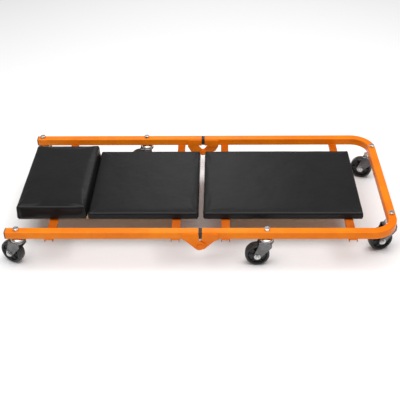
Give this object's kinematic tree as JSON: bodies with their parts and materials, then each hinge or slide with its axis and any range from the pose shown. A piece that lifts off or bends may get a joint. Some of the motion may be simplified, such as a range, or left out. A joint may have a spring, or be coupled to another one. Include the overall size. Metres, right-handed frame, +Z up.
{
  "type": "mechanics creeper",
  "caption": "Low folding creeper: padded boards with a raised headrest on a bent square-tube frame, hinged in the middle, rolling on swivel casters.",
  "frame": {"origin": "on the floor under the middle of the whole creeper", "axes": "+X from the headrest end to the closed foot end, +Y to the left side of a person lying face up, +Z up"},
  "size_m": [1.0284, 0.4982, 0.127],
  "materials": {
    "frame_paint": "glossy orange powder coat",
    "vinyl": "black grained upholstery vinyl",
    "plywood": "bare plywood",
    "zinc": "bright zinc plate",
    "wheel_plastic": "black moulded polypropylene",
    "cap_plastic": "black moulded polyethylene"
  },
  "bodies": {
    "foot_section": {"foot_frame": "frame_paint", "foot_crossbar_inner": "frame_paint", "foot_crossbar_outer": "frame_paint", "foot_bracket_right": "frame_paint", "foot_bracket_left": "frame_paint", "pivot_bolt_right": "frame_paint", "pivot_bolt_left": "frame_paint", "pivot_nut_right": "zinc", "pivot_nut_left": "zinc", "foot_plug_right": "cap_plastic", "foot_plug_left": "cap_plastic", "foot_board": "plywood", "foot_pad": "vinyl", "stem_mid_right": "zinc", "nut_mid_right": "zinc", "stem_foot_right": "zinc", "nut_foot_right": "zinc", "stem_foot_left": "zinc", "nut_foot_left": "zinc"},
    "head_section": {"head_rail_right": "frame_paint", "head_rail_left": "frame_paint", "head_crossbar_inner": "frame_paint", "head_crossbar_outer": "frame_paint", "head_bracket_right": "frame_paint", "head_bracket_left": "frame_paint", "head_plug_right": "cap_plastic", "head_plug_left": "cap_plastic", "end_cap_right": "cap_plastic", "end_cap_left": "cap_plastic", "head_board": "plywood", "head_pad": "vinyl", "headrest": "vinyl", "stem_head_right": "zinc", "nut_head_right": "zinc", "stem_head_left": "zinc", "nut_head_left": "zinc", "stem_mid_left": "zinc", "nut_mid_left": "zinc"},
    "swivel_head_right": {"fork_head_right": "zinc", "axle_head_right": "zinc"},
    "roll_head_right": {"wheel_head_right": "wheel_plastic"},
    "swivel_head_left": {"fork_head_left": "zinc", "axle_head_left": "zinc"},
    "roll_head_left": {"wheel_head_left": "wheel_plastic"},
    "swivel_mid_left": {"fork_mid_left": "zinc", "axle_mid_left": "zinc"},
    "roll_mid_left": {"wheel_mid_left": "wheel_plastic"},
    "swivel_mid_right": {"fork_mid_right": "zinc", "axle_mid_right": "zinc"},
    "roll_mid_right": {"wheel_mid_right": "wheel_plastic"},
    "swivel_foot_right": {"fork_foot_right": "zinc", "axle_foot_right": "zinc"},
    "roll_foot_right": {"wheel_foot_right": "wheel_plastic"},
    "swivel_foot_left": {"fork_foot_left": "zinc", "axle_foot_left": "zinc"},
    "roll_foot_left": {"wheel_foot_left": "wheel_plastic"}
  },
  "joints": [
    {"name": "fold", "type": "hinge", "parent": "foot_section", "child": "head_section", "pos_m": [0.00481, -0.00178, 0.062], "axis": [0, -1, 0], "range_deg": [0, 162]},
    {"name": "swivel_head_right", "type": "hinge", "parent": "head_section", "child": "swivel_head_right", "pos_m": [-0.4622, -0.22778, 0.075], "axis": [0, 0, 1], "continuous": true},
    {"name": "roll_head_right", "type": "hinge", "parent": "swivel_head_right", "child": "roll_head_right", "pos_m": [-0.4825, -0.21698, 0.03175], "axis": [0.4695, 0.8829, 0], "continuous": true},
    {"name": "swivel_head_left", "type": "hinge", "parent": "head_section", "child": "swivel_head_left", "pos_m": [-0.47519, 0.22423, 0.075], "axis": [0, 0, 1], "continuous": true},
    {"name": "roll_head_left", "type": "hinge", "parent": "swivel_head_left", "child": "roll_head_left", "pos_m": [-0.45242, 0.22743, 0.03175], "axis": [0.1392, -0.9903, 0], "continuous": true},
    {"name": "swivel_mid_left", "type": "hinge", "parent": "head_section", "child": "swivel_mid_left", "pos_m": [-0.1632, 0.22423, 0.075], "axis": [0, 0, 1], "continuous": true},
    {"name": "roll_mid_left", "type": "hinge", "parent": "swivel_mid_left", "child": "roll_mid_left", "pos_m": [-0.18614, 0.22262, 0.03175], "axis": [-0.0698, 0.9976, 0], "continuous": true},
    {"name": "swivel_mid_right", "type": "hinge", "parent": "foot_section", "child": "swivel_mid_right", "pos_m": [0.1728, -0.22778, 0.075], "axis": [0, 0, 1], "continuous": true},
    {"name": "roll_mid_right", "type": "hinge", "parent": "swivel_mid_right", "child": "roll_mid_right", "pos_m": [0.1498, -0.22778, 0.03175], "axis": [0, 1, 0], "continuous": true},
    {"name": "swivel_foot_right", "type": "hinge", "parent": "foot_section", "child": "swivel_foot_right", "pos_m": [0.4958, -0.15978, 0.075], "axis": [0, 0, 1], "continuous": true},
    {"name": "roll_foot_right", "type": "hinge", "parent": "swivel_foot_right", "child": "roll_foot_right", "pos_m": [0.4737, -0.16612, 0.03175], "axis": [-0.2756, 0.9613, 0], "continuous": true},
    {"name": "swivel_foot_left", "type": "hinge", "parent": "foot_section", "child": "swivel_foot_left", "pos_m": [0.4958, 0.16823, 0.075], "axis": [0, 0, 1], "continuous": true},
    {"name": "roll_foot_left", "type": "hinge", "parent": "swivel_foot_left", "child": "roll_foot_left", "pos_m": [0.47419, 0.17609, 0.03175], "axis": [0.342, 0.9397, 0], "continuous": true}
  ]
}
